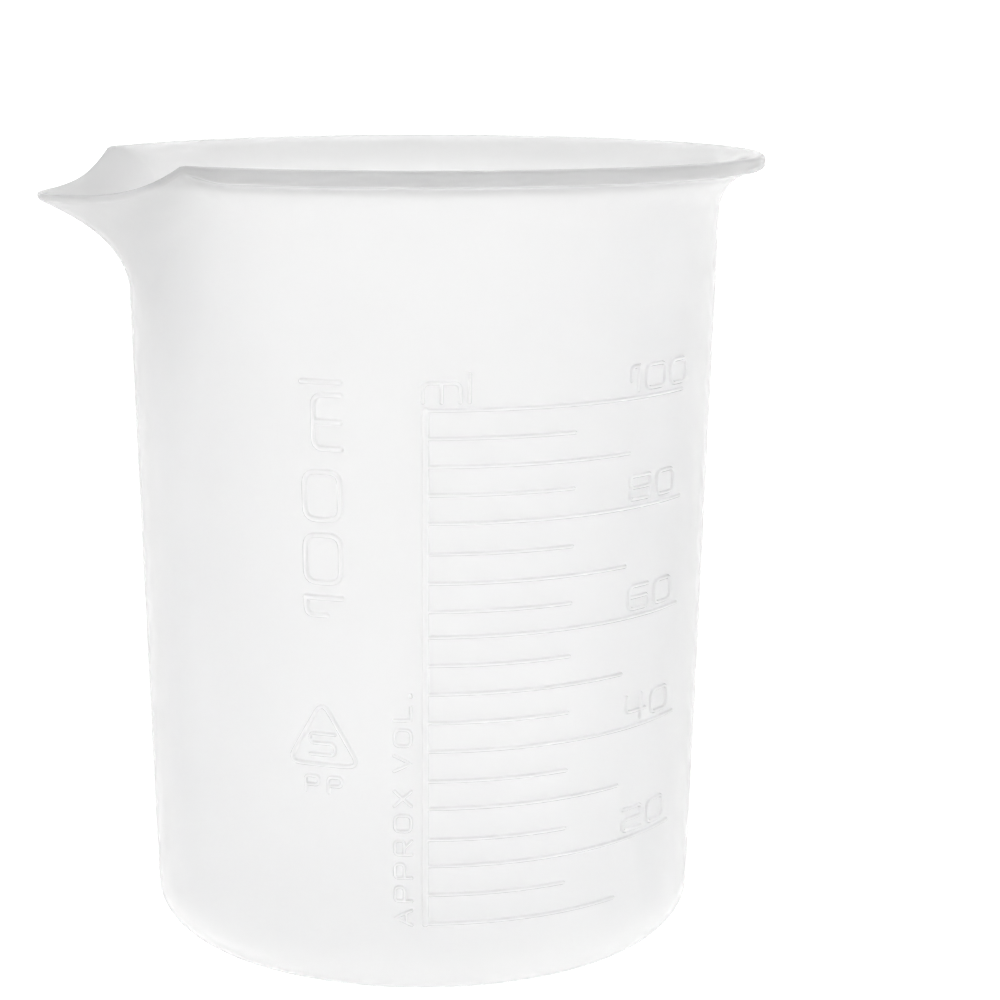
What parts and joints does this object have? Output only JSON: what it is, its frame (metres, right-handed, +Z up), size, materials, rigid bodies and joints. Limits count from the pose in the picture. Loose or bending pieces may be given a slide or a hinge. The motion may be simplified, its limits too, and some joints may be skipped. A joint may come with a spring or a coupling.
{
  "type": "beaker",
  "caption": "low-form translucent plastic laboratory beaker with a flared rim, a pouring spout and raised millilitre graduations",
  "frame": {"origin": "centre of the flat underside of the base, on the axis of the body", "axes": "+Z up along the body's axis, the pouring spout along -X, the graduations on the -Y side of the wall"},
  "size_m": [0.0675, 0.0634, 0.073],
  "materials": {
    "body": "milky translucent polypropylene, satin gloss",
    "relief": "milky translucent polypropylene, satin gloss, raised lines and letters"
  },
  "bodies": {
    "root": {"beaker_body": "body", "scale_spine": "relief", "scale_lines_20ml": "relief", "scale_lines_10ml": "relief", "scale_lines_5ml": "relief", "numeral_100": "relief", "numeral_80": "relief", "numeral_60": "relief", "numeral_40": "relief", "numeral_20": "relief", "unit_mark_ml": "relief", "approx_vol_legend": "relief", "capacity_legend": "relief", "resin_mark": "relief"}
  },
  "joints": []
}
